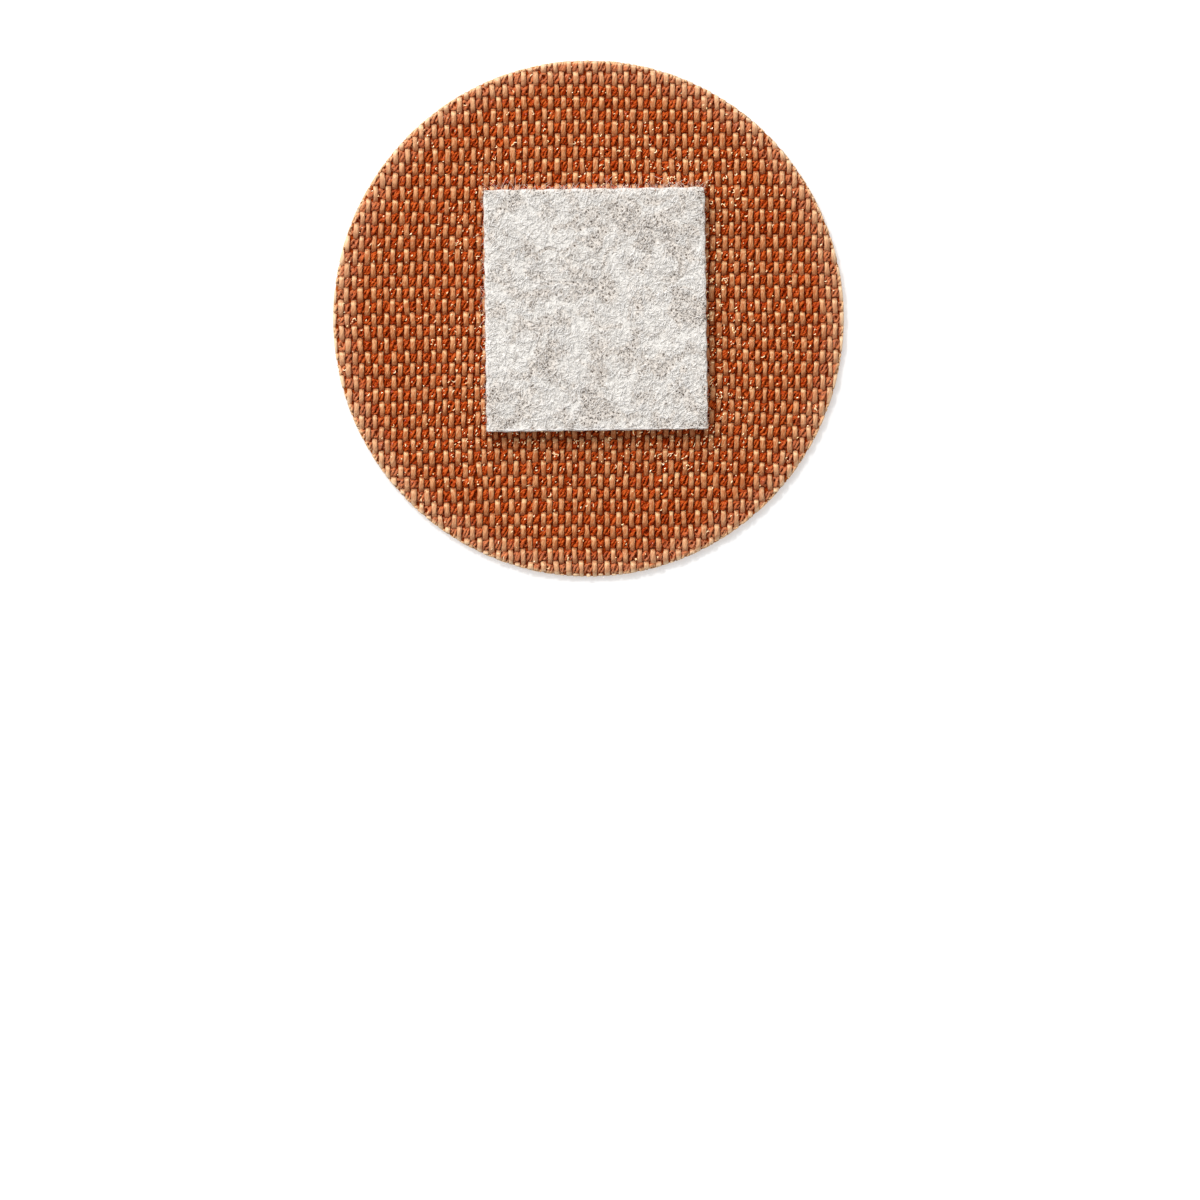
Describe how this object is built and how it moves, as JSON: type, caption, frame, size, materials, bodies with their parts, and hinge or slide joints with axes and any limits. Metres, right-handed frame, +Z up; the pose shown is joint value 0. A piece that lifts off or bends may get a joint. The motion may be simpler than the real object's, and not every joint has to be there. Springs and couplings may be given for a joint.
{
  "type": "round fabric adhesive bandage",
  "caption": "Round spot of woven elastic cloth, coated with adhesive on one face, with a square absorbent felt pad stuck near its middle.",
  "frame": {"origin": "under the middle of the cloth, on the surface that the bandage lies on", "axes": "+Z up, out of the adhesive face and the pad; +Y along the warp yarns; +X across them"},
  "size_m": [0.022, 0.0224, 0.0014],
  "materials": {
    "backing_cloth": "woven elastic cloth, tan warp yarns over rust weft yarns",
    "adhesive": "thin clear tacky adhesive over the yarns, with small bright glints",
    "pad_felt": "warm white needled felt, mottled where it is thin, with loose fibres"
  },
  "bodies": {
    "root": {"woven_backing": "backing_cloth", "adhesive_coat": "adhesive", "absorbent_pad": "pad_felt"}
  },
  "joints": []
}
